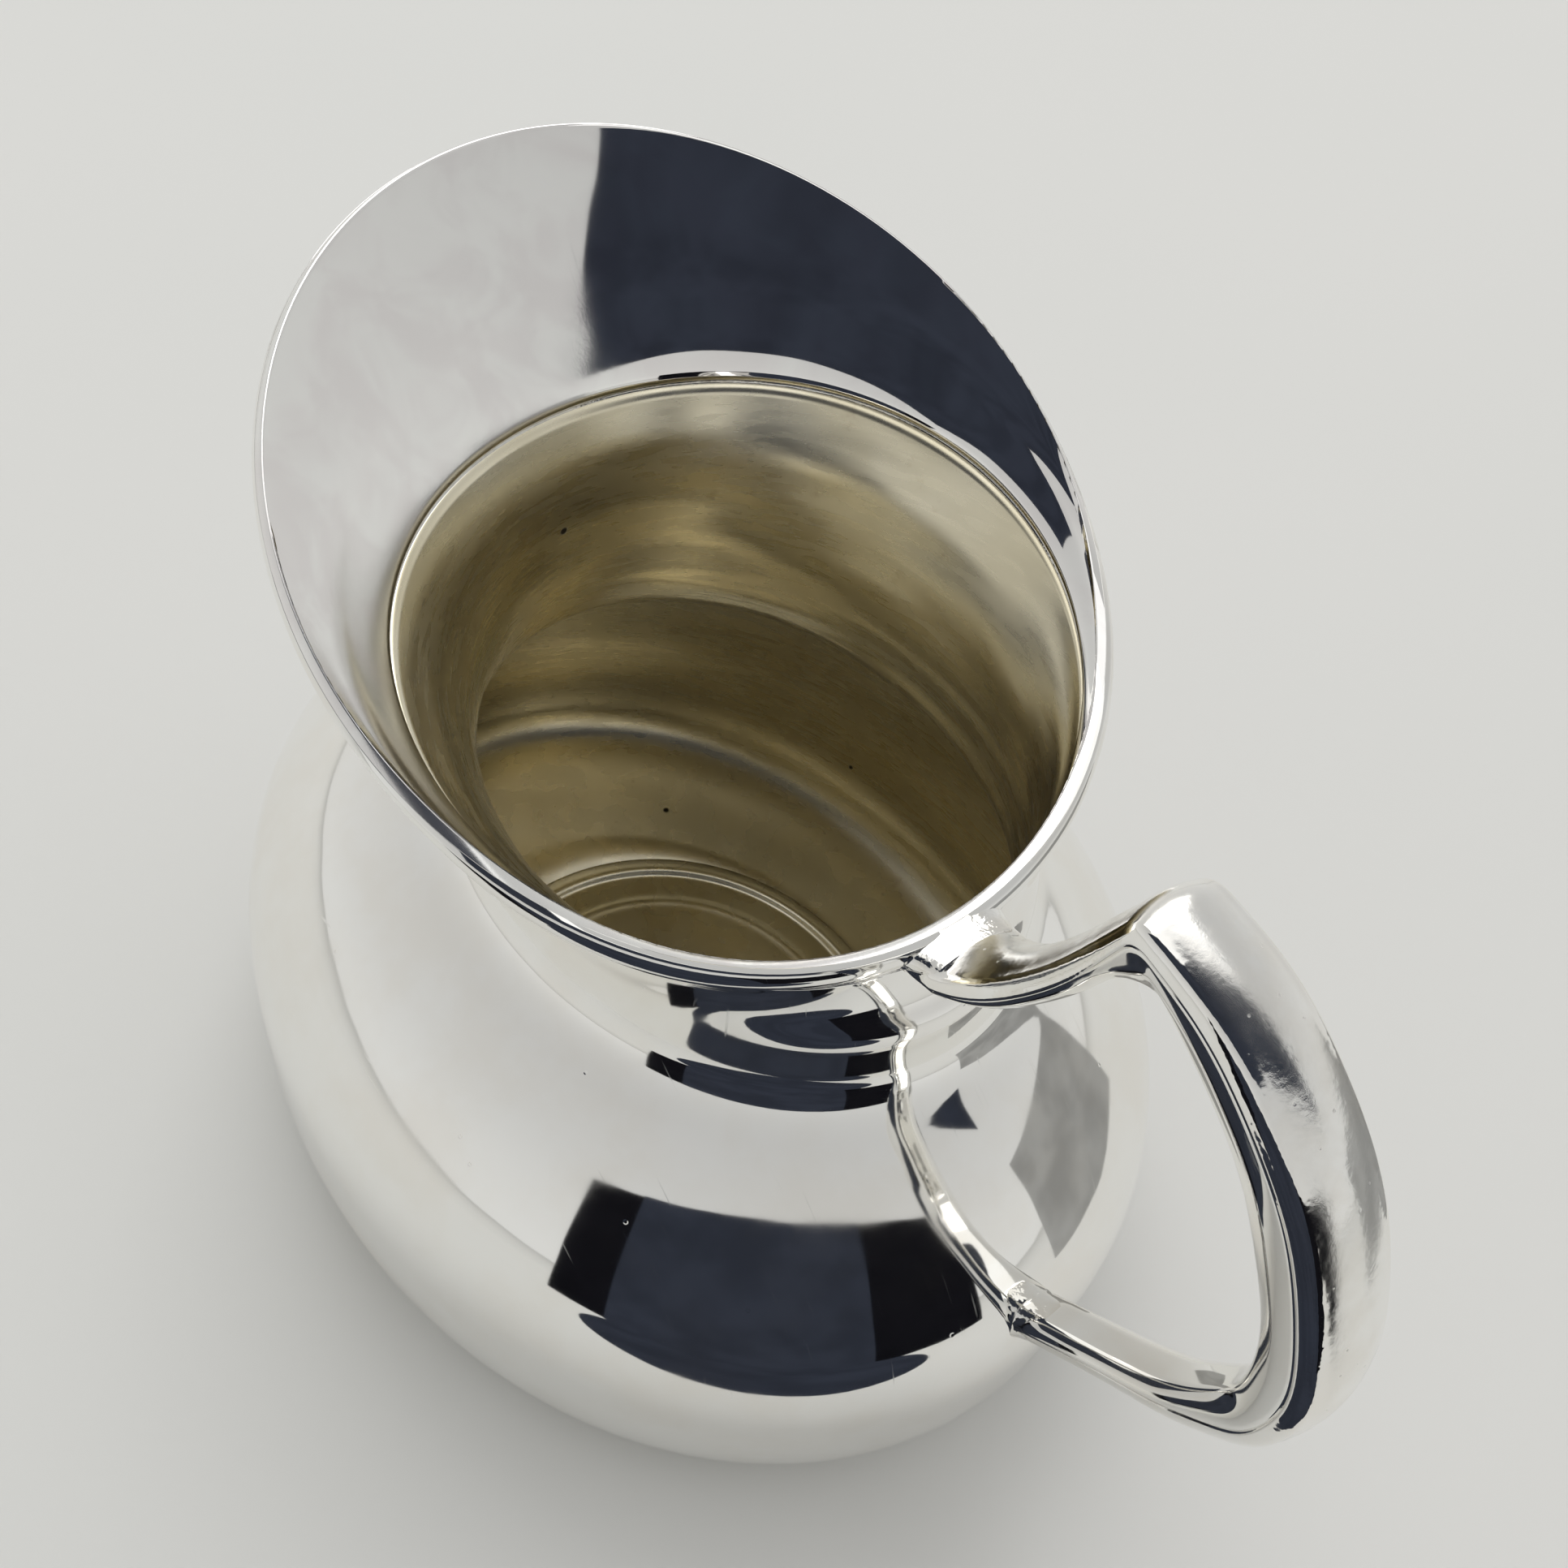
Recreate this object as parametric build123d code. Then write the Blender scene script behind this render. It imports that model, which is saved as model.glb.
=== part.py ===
from build123d import *
import math
import os

os.makedirs("parts", exist_ok=True)

# Silver cream jug, millimetres. +Z up, +X towards the handle, -X towards the pouring lip.
# The origin is the middle of the foot's flat underside.

# Bowl: an oval, wider across the lip-handle line than front to back.
belly_half_length = 51.5
belly_half_width = 42.0
belly_height = 25.0
wall = 0.9
bottom_height = 1.6
bottom_scale = 0.62
neck_height = 54.5
neck_scale = 0.553
neck_shift = 3.5

# The upper shoulder and its turn up into the neck: (scale of the belly oval, height, shift to the handle).
upper_shoulder = [
    (0.81, 40.3, 0.9),
    (0.74, 43.0, 1.4),
    (0.67, 45.3, 1.9),
    (0.61, 47.2, 2.4),
    (0.578, 48.8, 2.8),
    (0.562, 51.2, 3.2),
    (0.555, 54.8, 3.5),
]

# Neck and lip: each station is (lip side x, z), (flank y, z), (handle side x, z).
neck_and_lip = [
    ((-24.5, 61.7), (24.6, 60.5), (30.5, 57.0)),
    ((-24.9, 68.5), (27.3, 66.0), (29.4, 59.6)),
    ((-26.7, 74.8), (30.5, 70.5), (29.0, 61.3)),
    ((-30.2, 80.6), (32.8, 74.1), (28.8, 62.6)),
    ((-35.3, 86.5), (33.9, 76.1), (28.6, 63.2)),
    ((-40.7, 92.4), (34.9, 78.1), (28.5, 63.8)),
]
section_points = 24

# Joint line between bowl and lip, seen from the side, as an arc of three points.
lip_joint = [(-60.0, 78.0), (0.0, 70.0), (60.0, 47.0)]
solder_gap = 0.2
seat_gap = 0.04

# Construction blocks that the walls are cut with reach this far past the jug.
overrun = 7.0
block_reach = 60.0
block_floor = -20.0

# Rim wire, base and foot.
rim_wire_height = 1.9
rim_wire_thickness = 0.8
rim_band_stations = 8
foot_ratio = 1.06
foot_outer = 26.0
foot_inner = 22.8
foot_lower_bevel = 0.5
foot_upper_bevel = 0.3
foot_fillet = 0.9
base_disc_radius = 25.2
base_ridge_radius = 23.9
base_ridge_width = 0.7
base_ridge_fall = 0.4
base_plug_radius = 21.4
base_plate = 0.8

# Handle stations: outer point (x, z), inner point (x, z), half width at the back, half width inside.
handle_arm = [
    ((24.0, 62.6), (24.0, 59.8), 5.4, 4.4),
    ((29.6, 63.0), (30.4, 60.4), 4.9, 3.8),
    ((33.4, 65.2), (35.3, 63.0), 3.9, 2.7),
    ((36.6, 69.6), (39.0, 68.0), 3.4, 2.2),
    ((39.3, 75.2), (41.9, 73.9), 3.5, 2.1),
    ((41.5, 81.0), (43.9, 78.2), 3.8, 2.1),
    ((43.3, 86.0), (46.6, 80.0), 4.0, 2.1),
]
handle_grip = [
    ((43.3, 86.0), (46.6, 80.0), 4.0, 2.1),
    ((50.2, 85.0), (49.0, 78.4), 4.1, 2.0),
    ((57.3, 81.4), (53.6, 75.2), 4.2, 1.9),
    ((63.5, 76.0), (58.0, 71.2), 4.2, 1.9),
    ((68.2, 68.6), (61.8, 66.0), 4.2, 1.9),
    ((70.9, 61.0), (64.9, 60.2), 4.1, 1.9),
    ((71.0, 55.6), (66.0, 55.4), 4.0, 1.9),
    ((70.0, 51.0), (65.9, 51.9), 3.7, 1.8),
    ((67.6, 46.6), (64.6, 48.4), 3.3, 1.8),
    ((64.2, 42.0), (62.0, 43.9), 2.9, 1.7),
    ((60.2, 38.0), (58.4, 39.9), 2.6, 1.7),
    ((56.0, 34.1), (54.2, 36.0), 2.5, 1.7),
    ((51.6, 30.0), (49.8, 31.9), 2.5, 1.7),
    ((46.0, 24.8), (44.2, 26.7), 2.5, 1.7),
]
back_crown = 0.7
edge_depth = 0.9
edge_inset = 0.6
handle_wall = 0.8

# How far each solder collar stands out from the handle, from the bowl outwards.
upper_swell = (1.9, 0.9, 0.02)
lower_swell = (1.6, 0.7, 0.02)


def bezier(p0, p1, p2, p3, t):
    """Point of a cubic curve in (scale, height)."""
    weights = [(1 - t) ** 3, 3 * t * (1 - t) ** 2, 3 * t * t * (1 - t), t ** 3]
    points = [p0, p1, p2, p3]
    return [sum(w * p[i] for w, p in zip(weights, points)) for i in (0, 1)]


def bowl_station(scale, height, shift):
    length = scale * belly_half_length
    return ((shift - length, height), (scale * belly_half_width, height), (shift + length, height))


def jug_stations():
    """Every station from the flat bottom up to the rim."""
    stations = []
    lower = [(bottom_scale, bottom_height), (1.0, bottom_height), (1.0, 6.5), (1.0, belly_height)]
    for t in (0, 0.12, 0.25, 0.38, 0.5, 0.62, 0.75, 0.88, 1.0):
        scale, height = bezier(*lower, t)
        stations.append(bowl_station(scale, height, 0.0))
    shoulder = [(1.0, belly_height), (1.0, 37.0), (0.62, 45.0), (neck_scale, neck_height)]
    for t in (0.18, 0.36):
        scale, height = bezier(*shoulder, t)
        stations.append(bowl_station(scale, height, neck_shift * t * t))
    stations += [bowl_station(*bend) for bend in upper_shoulder]
    return stations + neck_and_lip


def grown(stations, distance):
    """The same stations moved along the wall's own normal, seen in each of the three side curves."""
    moved = []
    for i, station in enumerate(stations):
        before = stations[max(i - 1, 0)]
        after = stations[min(i + 1, len(stations) - 1)]
        sides = []
        for side, outward in ((0, -1), (1, 1), (2, 1)):
            run = (after[side][0] - before[side][0]) * outward
            rise = after[side][1] - before[side][1]
            size = math.hypot(run, rise)
            x = station[side][0] + outward * distance * rise / size
            z = station[side][1] - distance * run / size
            sides.append((x, z))
        if i == 0:
            flat = bottom_height - distance
            sides = [(x, flat) for x, z in sides]
        moved.append(tuple(sides))
    return moved


def section(station):
    """One closed oval curve through the lip side, the flanks and the handle side."""
    (x_lip, z_lip), (y_flank, z_flank), (x_handle, z_handle) = station
    middle = (x_lip + x_handle) / 2
    reach = (x_handle - x_lip) / 2
    height = (z_lip + z_handle) / 2
    points = []
    for i in range(section_points):
        angle = 2 * math.pi * i / section_points
        z = height + (z_handle - z_lip) / 2 * math.cos(angle) + (z_flank - height) * math.sin(angle) ** 2
        points.append((middle + reach * math.cos(angle), y_flank * math.sin(angle), z))
    return Wire([Spline(*points, periodic=True)])


def extended(stations, distance):
    """Adds one planar station beyond the rim, so that a cut runs clean through it."""
    before, last = stations[-2], stations[-1]
    beyond = []
    for side in range(3):
        run = last[side][0] - before[side][0]
        rise = last[side][1] - before[side][1]
        size = math.hypot(run, rise)
        beyond.append((last[side][0] + run / size * distance, last[side][1] + rise / size * distance))
    beyond[1] = (beyond[1][0], (beyond[0][1] + beyond[2][1]) / 2)
    return stations + [tuple(beyond)]


def lofted(stations):
    return Solid.make_loft([section(s) for s in stations])


def side_view_region(top_arc, raise_by):
    """Everything under an arc seen from the side, as one block."""
    left, middle, right = [(x, z + raise_by) for x, z in top_arc]
    with BuildSketch(Plane.XZ) as sketch:
        with BuildLine():
            ThreePointArc(left, middle, right)
            Polyline(right, (right[0], block_floor), (left[0], block_floor), left)
        make_face()
    return extrude(sketch.sketch, amount=block_reach, both=True)


def oval_ring(profile):
    """A turned ring or disc, stretched a little along X. The profile is in (radius, z)."""
    with BuildPart() as turned:
        with BuildSketch(Plane.XZ):
            with BuildLine():
                Polyline(*profile, close=True)
            make_face()
        revolve(axis=Axis.Z)
    return scale(turned.part, by=(foot_ratio, 1.0, 1.0))


def strap_section(station):
    """Back strap of the handle: crowned back, bevelled edges, flat underside."""
    corners, across, up = station_frame(station)
    back, _ = corners
    half = station[2]
    narrow = half - edge_inset
    left = back - across * narrow
    right = back + across * narrow
    top = back + up * back_crown
    low_left = back - across * half - up * edge_depth
    low_right = back + across * half - up * edge_depth
    return Wire([
        ThreePointArc(left, top, right),
        Line(right, low_right),
        Line(low_right, low_left),
        Line(low_left, left),
    ])


def channel_section(station):
    """Inner channel of the handle: a U that opens towards the back strap."""
    corners, across, up = station_frame(station)
    back, inside = corners
    half, half_inside = station[2], station[3]
    floor = inside + up * handle_wall
    rim = back - up * (edge_depth + seat_gap)
    return Wire(Polyline(
        rim + across * half,
        inside + across * half_inside,
        inside - across * half_inside,
        rim - across * half,
        rim - across * (half - handle_wall),
        floor - across * (half_inside - handle_wall * 0.6),
        floor + across * (half_inside - handle_wall * 0.6),
        rim + across * (half - handle_wall),
        close=True,
    ).edges())


def block_section(station, extra=0.0):
    """Whole outline of the handle at a station, made larger by extra."""
    corners, across, up = station_frame(station)
    back, inside = corners
    half, half_inside = station[2] + extra, station[3] + extra
    narrow = half - edge_inset
    left = back - across * narrow + up * extra
    right = back + across * narrow + up * extra
    top = back + up * (back_crown + extra)
    rim = back - up * edge_depth
    low = inside - up * extra
    sides = Polyline(
        right,
        rim + across * half,
        low + across * half_inside,
        low - across * half_inside,
        rim - across * half,
        left,
    )
    return Wire([ThreePointArc(left, top, right)] + list(sides.edges()))


def station_frame(station):
    """The two middle points of a station, and its directions across and towards the back."""
    back = Vector(station[0][0], 0, station[0][1])
    inside = Vector(station[1][0], 0, station[1][1])
    return (back, inside), Vector(0, 1, 0), (back - inside).normalized()


def handle_run(make_section, stations):
    return Solid.make_loft([make_section(s) for s in stations])


outer_stations = jug_stations()
outer = lofted(outer_stations)
cavity = lofted(extended(grown(outer_stations, -wall), overrun))
shell = outer - cavity

below_joint = side_view_region(lip_joint, 0.0)
below_solder = side_view_region(lip_joint, solder_gap)
bowl = shell & below_joint
lip = shell - below_solder
lip_solder = (shell & below_solder) - below_joint

base_floor = bottom_height + wall
plug_hole = oval_ring([
    (0, 0),
    (base_plug_radius, 0),
    (base_plug_radius, overrun),
    (0, overrun),
])
bowl = bowl - plug_hole
base_disc = oval_ring([
    (0, bottom_height),
    (base_plug_radius, bottom_height),
    (base_plug_radius, base_floor),
    (base_disc_radius, base_floor),
    (base_disc_radius, base_floor + base_plate * 0.5),
    (base_ridge_radius, base_floor + base_plate),
    (base_ridge_radius - base_ridge_width, base_floor + base_plate),
    (base_ridge_radius - base_ridge_width - base_ridge_fall, base_floor + base_plate * 0.4),
    (0, base_floor + base_plate * 0.4),
])
ground = Box(2 * block_reach, 2 * block_reach, overrun, align=(Align.CENTER, Align.CENTER, Align.MAX))
foot_ring = oval_ring([
    (foot_inner, -foot_lower_bevel),
    (foot_outer - 2 * foot_lower_bevel, -foot_lower_bevel),
    (foot_outer, foot_lower_bevel),
    (foot_outer, bottom_height - foot_upper_bevel),
    (foot_outer - foot_upper_bevel, bottom_height),
    (foot_inner, bottom_height),
]) - ground
foot_solder = oval_ring([
    (foot_inner - foot_fillet, bottom_height),
    (foot_inner, bottom_height - foot_fillet),
    (foot_inner, bottom_height),
])

jug_blank = lofted(extended(grown(outer_stations, seat_gap), overrun))
(rim_front, rim_top), (_, rim_middle), (rim_back, rim_low) = outer_stations[-1]
rim_plane = Plane(
    origin=((rim_front + rim_back) / 2, 0, rim_middle),
    x_dir=(rim_back - rim_front, 0, rim_low - rim_top),
    z_dir=(rim_top - rim_low, 0, rim_back - rim_front),
)
slab_size = 2 * block_reach
rim_slab = rim_plane * Box(slab_size, slab_size, rim_wire_height, align=(Align.CENTER, Align.CENTER, Align.MAX))
rim_band = lofted(extended(grown(outer_stations, rim_wire_thickness)[-rim_band_stations:], overrun))
rim_wire = (rim_band & rim_slab) - jug_blank

handle_arm_block = handle_run(block_section, handle_arm)
handle_grip_block = handle_run(block_section, handle_grip)
handle_back = handle_run(strap_section, handle_arm) + handle_run(strap_section, handle_grip)
handle_channel = handle_run(channel_section, handle_arm) + handle_run(channel_section, handle_grip)
handle_back = handle_back - jug_blank - rim_wire
handle_channel = handle_channel - jug_blank - rim_wire


def solder_collar(stations, swells, block):
    """A fillet of solder: the handle's end, swollen towards the bowl and tapering off along the handle."""
    swollen = [block_section(s, extra) for s, extra in zip(stations, swells)]
    return Solid.make_loft(swollen) - jug_blank - rim_wire - block


upper_solder = solder_collar(handle_arm[:3], upper_swell, handle_arm_block)
lower_solder = solder_collar(handle_grip[:-4:-1], lower_swell, handle_grip_block)

nodes = {
    "bowl": bowl,
    "lip": lip,
    "lip_solder": lip_solder,
    "rim_wire": rim_wire,
    "base_disc": base_disc,
    "foot_ring": foot_ring,
    "foot_solder": foot_solder,
    "handle_back": handle_back,
    "handle_channel": handle_channel,
    "upper_solder": upper_solder,
    "lower_solder": lower_solder,
}
for name, piece in nodes.items():
    solids = piece.solids()
    print(name, len(solids), [round(solid.volume, 1) for solid in solids])
    export_step(Compound(children=list(solids)), f"parts/{name}.step")
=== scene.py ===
import math

import bmesh
import bpy
import numpy as np
from mathutils import Matrix, Vector, noise
from mathutils.bvhtree import BVHTree


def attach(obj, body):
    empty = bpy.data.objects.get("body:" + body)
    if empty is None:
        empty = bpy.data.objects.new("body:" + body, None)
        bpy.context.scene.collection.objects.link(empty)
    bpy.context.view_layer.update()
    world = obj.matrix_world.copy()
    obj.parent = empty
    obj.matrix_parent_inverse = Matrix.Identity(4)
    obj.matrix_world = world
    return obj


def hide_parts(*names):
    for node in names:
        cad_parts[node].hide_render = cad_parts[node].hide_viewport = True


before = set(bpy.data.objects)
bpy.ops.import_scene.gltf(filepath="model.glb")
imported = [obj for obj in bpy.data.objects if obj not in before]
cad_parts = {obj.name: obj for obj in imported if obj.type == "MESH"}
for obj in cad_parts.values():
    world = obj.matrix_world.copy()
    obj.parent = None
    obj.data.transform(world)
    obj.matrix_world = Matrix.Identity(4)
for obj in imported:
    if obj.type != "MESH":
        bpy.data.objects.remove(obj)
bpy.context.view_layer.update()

# ---------------------------------------------------------------- driving sizes, millimetres

MM = 0.001
belly_half_length = 51.5
belly_half_width = 42.0
belly_height = 25.0
wall = 0.9
bottom_height = 1.6
bottom_scale = 0.62
neck_height = 54.5
neck_scale = 0.553
neck_shift = 3.5
lower_steps = (0, 0.12, 0.25, 0.38, 0.5, 0.62, 0.75, 0.88, 1.0)
shoulder_steps = (0.18, 0.36)

# The upper shoulder and its turn up into the neck: (scale of the belly oval, height, shift to the handle).
upper_shoulder = [
    (0.81, 40.3, 0.9),
    (0.74, 43.0, 1.4),
    (0.67, 45.3, 1.9),
    (0.61, 47.2, 2.4),
    (0.578, 48.8, 2.8),
    (0.562, 51.2, 3.2),
    (0.555, 54.8, 3.5),
]

# Neck and lip stations: (lip side x, z), (flank y, z), (handle side x, z).
neck_and_lip = [
    ((-24.5, 61.7), (24.6, 60.5), (30.5, 57.0)),
    ((-24.9, 68.5), (27.3, 66.0), (29.4, 59.6)),
    ((-26.7, 74.8), (30.5, 70.5), (29.0, 61.3)),
    ((-30.2, 80.6), (32.8, 74.1), (28.8, 62.6)),
    ((-35.3, 86.5), (33.9, 76.1), (28.6, 63.2)),
    ((-40.7, 92.4), (34.9, 78.1), (28.5, 63.8)),
]
belly_station = len(lower_steps) - 1
neck_station = belly_station + len(shoulder_steps) + len(upper_shoulder)
crease_station = neck_station + 3
rim_station = neck_station + len(neck_and_lip)

rim_bead_height = 1.9
rim_bead_thickness = 0.78
foot_ratio = 1.06
foot_outer = 26.0
foot_inner = 22.8
foot_fillet = 0.9
disc_radius = 25.2
ridge_radius = 23.9
plug_radius = 21.4
disc_plate = 0.8

# Handle stations: outer point (x, z), inner point (x, z), half width at the back, half width inside.
handle_arm = [
    ((24.0, 62.6), (24.0, 59.8), 5.4, 4.4),
    ((29.6, 63.0), (30.4, 60.4), 4.9, 3.8),
    ((33.4, 65.2), (35.3, 63.0), 3.9, 2.7),
    ((36.6, 69.6), (39.0, 68.0), 3.4, 2.2),
    ((39.3, 75.2), (41.9, 73.9), 3.5, 2.1),
    ((41.5, 81.0), (43.9, 78.2), 3.8, 2.1),
    ((43.3, 86.0), (46.6, 80.0), 4.0, 2.1),
]
handle_grip = [
    ((43.3, 86.0), (46.6, 80.0), 4.0, 2.1),
    ((50.2, 85.0), (49.0, 78.4), 4.1, 2.0),
    ((57.3, 81.4), (53.6, 75.2), 4.2, 1.9),
    ((63.5, 76.0), (58.0, 71.2), 4.2, 1.9),
    ((68.2, 68.6), (61.8, 66.0), 4.2, 1.9),
    ((70.9, 61.0), (64.9, 60.2), 4.1, 1.9),
    ((71.0, 55.6), (66.0, 55.4), 4.0, 1.9),
    ((70.0, 51.0), (65.9, 51.9), 3.7, 1.8),
    ((67.6, 46.6), (64.6, 48.4), 3.3, 1.8),
    ((64.2, 42.0), (62.0, 43.9), 2.9, 1.7),
    ((60.2, 38.0), (58.4, 39.9), 2.6, 1.7),
    ((56.0, 34.1), (54.2, 36.0), 2.5, 1.7),
    ((51.6, 30.0), (49.8, 31.9), 2.5, 1.7),
    ((46.0, 24.8), (44.2, 26.7), 2.5, 1.7),
]
back_crown = 0.62
edge_depth = 0.9
edge_inset = 0.95
band_depth = 1.6
band_start = 0.12 * math.pi / 2
handle_wall = 0.8

# How far the hammered rings inside the neck stand in or out.
ripple_depth = 0.34

# Half the height of the seam between bowl and lip, as a share of a station.
seam_share = 0.03

# How finely the pieces are divided.
around = 160
angles = np.arange(around) * (2 * math.pi / around)


# ---------------------------------------------------------------- curves and the jug's wall

class SmoothRun:
    """A natural cubic curve through rows of numbers, spaced by the distance between them."""

    def __init__(self, rows):
        self.rows = np.array(rows, float)
        self.knots = np.concatenate([[0.0], np.cumsum(np.linalg.norm(np.diff(self.rows, axis=0), axis=1))])
        count = len(self.rows)
        gaps = np.diff(self.knots)
        system = np.eye(count)
        target = np.zeros_like(self.rows)
        for i in range(1, count - 1):
            system[i, i - 1:i + 2] = (gaps[i - 1], 2 * (gaps[i - 1] + gaps[i]), gaps[i])
            rise_after = (self.rows[i + 1] - self.rows[i]) / gaps[i]
            rise_before = (self.rows[i] - self.rows[i - 1]) / gaps[i - 1]
            target[i] = 6 * (rise_after - rise_before)
        self.bends = np.linalg.solve(system, target)

    def at(self, station):
        """The row at a station number, which may lie between two stations."""
        distance = np.interp(station, range(len(self.knots)), self.knots)
        return self.at_distance(distance)

    def at_distance(self, distance):
        i = int(np.clip(np.searchsorted(self.knots, distance) - 1, 0, len(self.knots) - 2))
        gap = self.knots[i + 1] - self.knots[i]
        after = (distance - self.knots[i]) / gap
        before = 1 - after
        curve = (before ** 3 - before) * self.bends[i] + (after ** 3 - after) * self.bends[i + 1]
        return before * self.rows[i] + after * self.rows[i + 1] + curve * gap * gap / 6


def bezier(points, t):
    weights = ((1 - t) ** 3, 3 * t * (1 - t) ** 2, 3 * t * t * (1 - t), t ** 3)
    return sum(w * np.array(p) for w, p in zip(weights, points))


def bowl_row(scale, height, shift):
    length = scale * belly_half_length
    return (shift - length, height, scale * belly_half_width, height, shift + length, height)


def jug_rows():
    """Lip side, flank and handle side points of every station from the flat bottom to the rim."""
    rows = []
    lower = ((bottom_scale, bottom_height), (1.0, bottom_height), (1.0, 6.5), (1.0, belly_height))
    for t in lower_steps:
        scale, height = bezier(lower, t)
        rows.append(bowl_row(scale, height, 0.0))
    shoulder = ((1.0, belly_height), (1.0, 37.0), (0.62, 45.0), (neck_scale, neck_height))
    for t in shoulder_steps:
        scale, height = bezier(shoulder, t)
        rows.append(bowl_row(scale, height, neck_shift * t * t))
    rows += [bowl_row(*bend) for bend in upper_shoulder]
    return rows + [lip + flank + handle for lip, flank, handle in neck_and_lip]


wall_run = SmoothRun(jug_rows())


def oval(row, turn):
    """Points of a station's oval at the given angles, in millimetres."""
    x_lip, z_lip, y_flank, z_flank, x_handle, z_handle = row
    height = (z_lip + z_handle) / 2
    x = (x_lip + x_handle) / 2 + (x_handle - x_lip) / 2 * np.cos(turn)
    z = height + (z_handle - z_lip) / 2 * np.cos(turn) + (z_flank - height) * np.sin(turn) ** 2
    return np.stack([x, y_flank * np.sin(turn), z], axis=-1)


def wall_frame(station):
    """Points, outward normals and upward directions round the wall's outside at a station."""
    small = 0.02
    distance = np.interp(station, range(len(wall_run.knots)), wall_run.knots)
    low = max(distance - small, 0.0)
    high = min(distance + small, wall_run.knots[-1])
    points = oval(wall_run.at_distance(distance), angles)
    up = oval(wall_run.at_distance(high), angles) - oval(wall_run.at_distance(low), angles)
    up /= np.linalg.norm(up, axis=1)[:, None]
    along = np.roll(points, -1, axis=0) - np.roll(points, 1, axis=0)
    normal = np.cross(along, up)
    normal /= np.linalg.norm(normal, axis=1)[:, None]
    return points, normal, np.cross(normal, along / np.linalg.norm(along, axis=1)[:, None])


def wall_ring(station, outward=0.0, raised=0.0):
    points, normal, up = wall_frame(station)
    shift = np.broadcast_to(np.asarray(outward, float), (around,))
    lift = np.broadcast_to(np.asarray(raised, float), (around,))
    return points + normal * shift[:, None] + up * lift[:, None]


def flat_oval(radius, height, ratio=foot_ratio):
    level = np.full(around, height)
    return np.stack([radius * ratio * np.cos(angles), radius * np.sin(angles), level], axis=-1)


# ---------------------------------------------------------------- mesh making

def skin(rings, finishes=None, closed=True, capped=False):
    """A mesh that runs through rings of points, given in millimetres. The last ring may join the first."""
    mesh = bmesh.new()
    place = mesh.verts.layers.int.new("place")
    bmesh.ops.create_circle(mesh, segments=len(rings[0]), radius=1.0)
    mesh.verts.ensure_lookup_table()
    for i, vert in enumerate(mesh.verts):
        vert[place] = i
        vert.co = Vector(rings[0][i]) * MM
    edges = list(mesh.edges)
    following = list(rings[1:]) + ([rings[0]] if closed else [])
    for step, ring in enumerate(following):
        grown = bmesh.ops.extrude_edge_only(mesh, edges=edges)["geom"]
        verts = [item for item in grown if isinstance(item, bmesh.types.BMVert)]
        new = set(verts)
        edges = [item for item in grown if isinstance(item, bmesh.types.BMEdge) and set(item.verts) <= new]
        for vert in verts:
            vert.co = Vector(ring[vert[place]]) * MM
        for face in grown:
            if isinstance(face, bmesh.types.BMFace):
                face.material_index = finishes[step] if finishes else 0
    if closed:
        bmesh.ops.remove_doubles(mesh, verts=mesh.verts, dist=1e-7)
    if capped:
        open_edges = [edge for edge in mesh.edges if edge.is_boundary]
        bmesh.ops.holes_fill(mesh, edges=open_edges, sides=len(rings[0]))
    if mesh.calc_volume(signed=True) < 0:
        bmesh.ops.reverse_faces(mesh, faces=mesh.faces)
    return mesh


def piece(name, mesh, node, slot, *materials):
    """Turns a finished mesh into a visible piece that stands for a CAD node."""
    for face in mesh.faces:
        face.smooth = True
    data = bpy.data.meshes.new(name)
    mesh.to_mesh(data)
    mesh.free()
    for material in materials:
        data.materials.append(material)
    made = bpy.data.objects.new(name, data)
    bpy.context.scene.collection.objects.link(made)
    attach(made, "root")
    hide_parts(node)
    return made


def spread(start, end, count):
    return [start + (end - start) * i / (count - 1) for i in range(count)]


# ---------------------------------------------------------------- shader helper

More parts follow.
